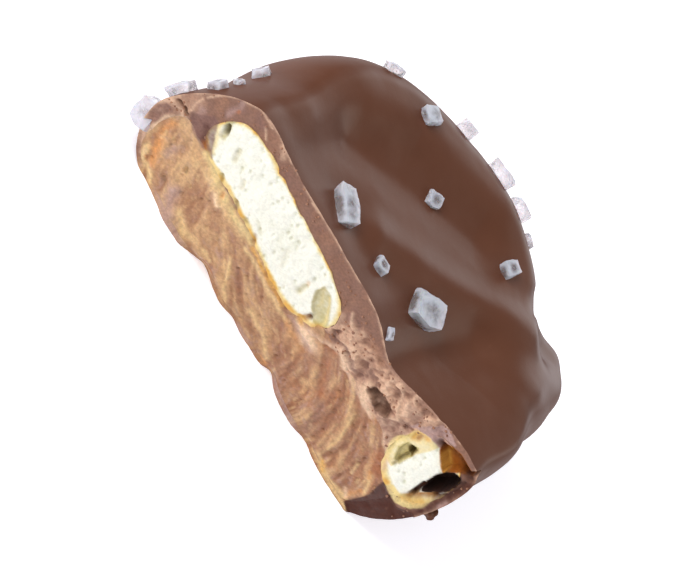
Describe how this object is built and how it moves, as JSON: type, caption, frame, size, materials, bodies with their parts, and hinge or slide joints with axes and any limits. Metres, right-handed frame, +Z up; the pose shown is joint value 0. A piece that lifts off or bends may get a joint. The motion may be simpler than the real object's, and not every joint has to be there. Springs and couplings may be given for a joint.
{
  "type": "chocolate covered pretzel half",
  "caption": "Thick round pretzel confection cut in half: milk chocolate coat with coarse salt, and a pretzel rope on caramel showing at the cut.",
  "frame": {"origin": "middle of the bounding box in X and Y, on the flat base", "axes": "+Z up from the flat base to the salted top. +X along the cut, from the end where the pretzel rope is cut lengthwise to the end where it is cut across. The cut face looks along -Y"},
  "size_m": [0.058, 0.0338, 0.0215],
  "materials": {
    "milk_chocolate": "satin milk chocolate with clear salt crystals",
    "caramel": "smeared by the knife, satin",
    "baked_pretzel": "dry crumb with a golden crust"
  },
  "bodies": {
    "root": {"chocolate_coat": "milk_chocolate", "caramel_layer": "caramel", "pretzel": "baked_pretzel"}
  },
  "joints": []
}
